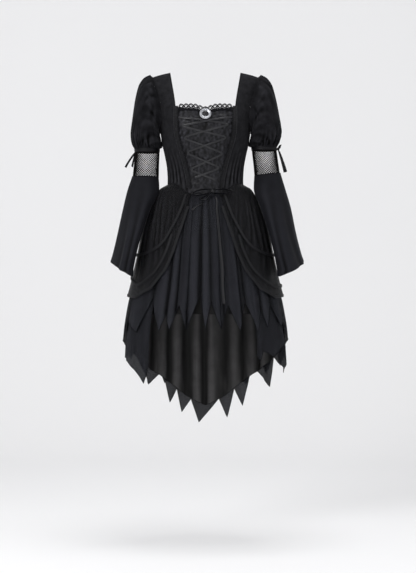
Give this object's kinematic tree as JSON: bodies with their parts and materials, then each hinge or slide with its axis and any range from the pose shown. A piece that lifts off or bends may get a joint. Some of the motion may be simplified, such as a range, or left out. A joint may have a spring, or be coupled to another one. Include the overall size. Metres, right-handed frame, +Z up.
{
  "type": "witch costume",
  "caption": "Black witch dress, worn and hollow: laced satin front in a velvet bodice, puffed sleeves over fishnet and bells, and a ragged skirt, short in front and long behind.",
  "frame": {"origin": "midway between the two shoulder seams, where the wearer's shoulders hold the dress", "axes": "+Z up along the wearer, the front faces -Y, and +X is the wearer's left"},
  "size_m": [0.5822, 0.3877, 1.102],
  "materials": {
    "velvet": "black short-pile velvet",
    "satin": "black satin",
    "lining": "black satin lining, shiny side in",
    "ribbon": "black satin ribbon",
    "chiffon": "sheer matt black chiffon",
    "crepe": "matt blue-black crepe",
    "net": "open black net",
    "lace": "black cotton lace",
    "trim": "corded black braid",
    "rhinestones": "clear stones in a silver setting",
    "black_stone": "polished black"
  },
  "bodies": {
    "root": {"bodice_front_left": "velvet", "bodice_front_right": "velvet", "bodice_back_left": "velvet", "bodice_back_right": "velvet", "satin_panel": "satin", "neckline_lace": "lace", "braid_left": "trim", "braid_right": "trim", "lacing_under": "ribbon", "lacing_over": "ribbon", "brooch_ring": "rhinestones", "brooch_stone": "black_stone", "chiffon_front": "chiffon", "chiffon_side_left": "chiffon", "chiffon_side_right": "chiffon", "under_chiffon_left": "chiffon", "under_chiffon_right": "chiffon", "lining_front": "lining", "lining_back_left": "lining", "lining_back_right": "lining", "net_overskirt_left": "net", "net_overskirt_right": "net", "net_binding_left": "trim", "net_binding_right": "trim", "swag_upper_left": "trim", "swag_upper_right": "trim", "swag_lower_left": "trim", "swag_lower_right": "trim", "puff_sleeve_left": "velvet", "puff_sleeve_right": "velvet", "sleeve_band_left": "ribbon", "sleeve_band_right": "ribbon", "fishnet_left": "net", "fishnet_right": "net", "bell_sleeve_left": "crepe", "bell_sleeve_right": "crepe", "sleeve_tie_left": "ribbon", "sleeve_tie_right": "ribbon", "waist_bow": "ribbon", "bow_tail_long": "ribbon", "bow_tail_short": "ribbon"}
  },
  "joints": []
}
